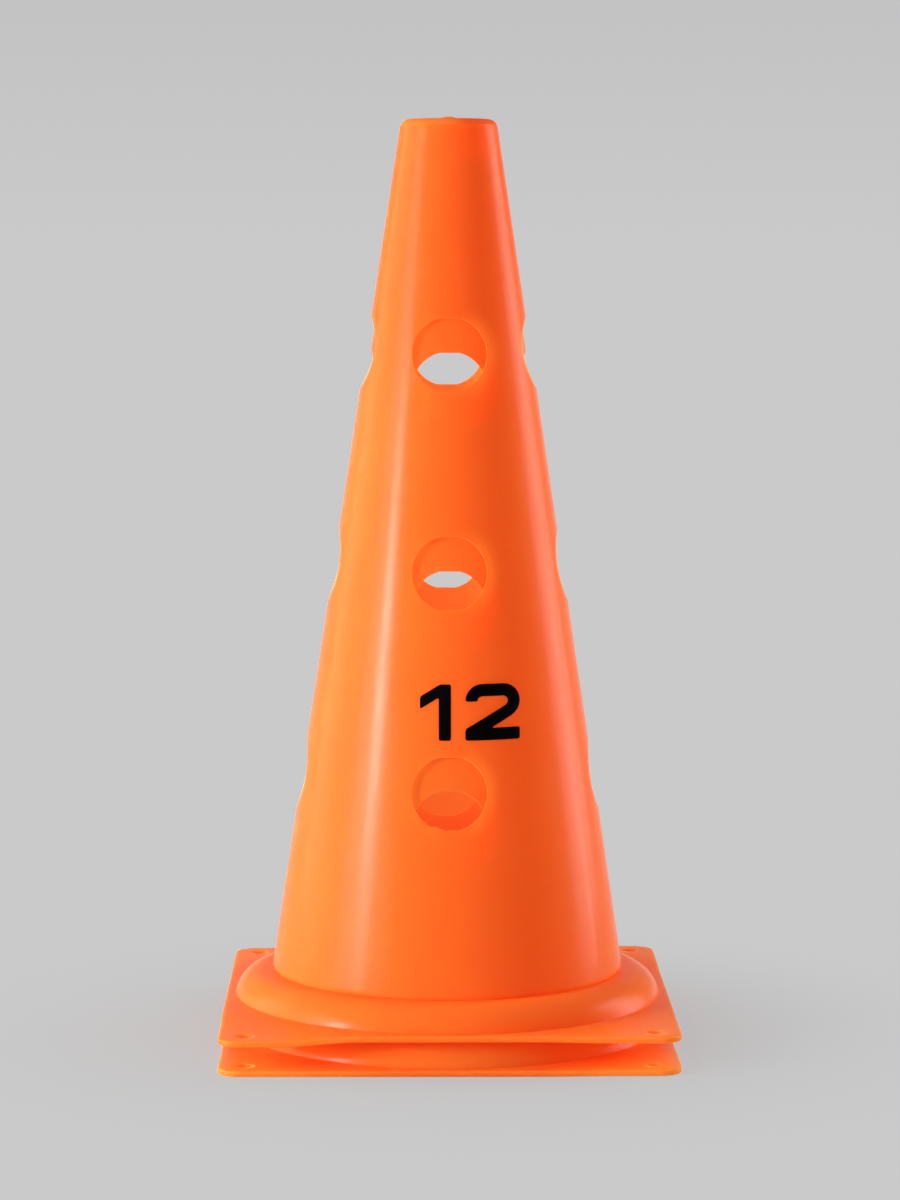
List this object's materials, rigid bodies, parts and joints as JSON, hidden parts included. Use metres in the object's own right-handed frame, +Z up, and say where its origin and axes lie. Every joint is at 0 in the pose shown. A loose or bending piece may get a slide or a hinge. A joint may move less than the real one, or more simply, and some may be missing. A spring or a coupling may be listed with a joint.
{
  "type": "training cone",
  "caption": "Nested training cones in flexible orange plastic, with level pole holes through the tapered wall, a round collar and a square plate with peg holes; the upper one lifts off.",
  "frame": {"origin": "on the floor, on the axis of the two nested cones", "axes": "+Z up along the cones' axis; the plates' sides and the pole holes lie along X and Y; the picture looks along +Y"},
  "size_m": [0.192, 0.192, 0.3955],
  "materials": {
    "cone_plastic": "satin translucent orange polyethylene, with a faint moulded grain and light scuffs",
    "print_ink": "thin black screen-printed ink, satin"
  },
  "bodies": {
    "lower": {"lower_cone": "cone_plastic"},
    "upper": {"upper_cone": "cone_plastic"}
  },
  "joints": [
    {"name": "upper_cone_lift", "type": "slide", "parent": "lower", "child": "upper", "axis": [0, 0, 1], "range_m": [0, 0.4]}
  ]
}
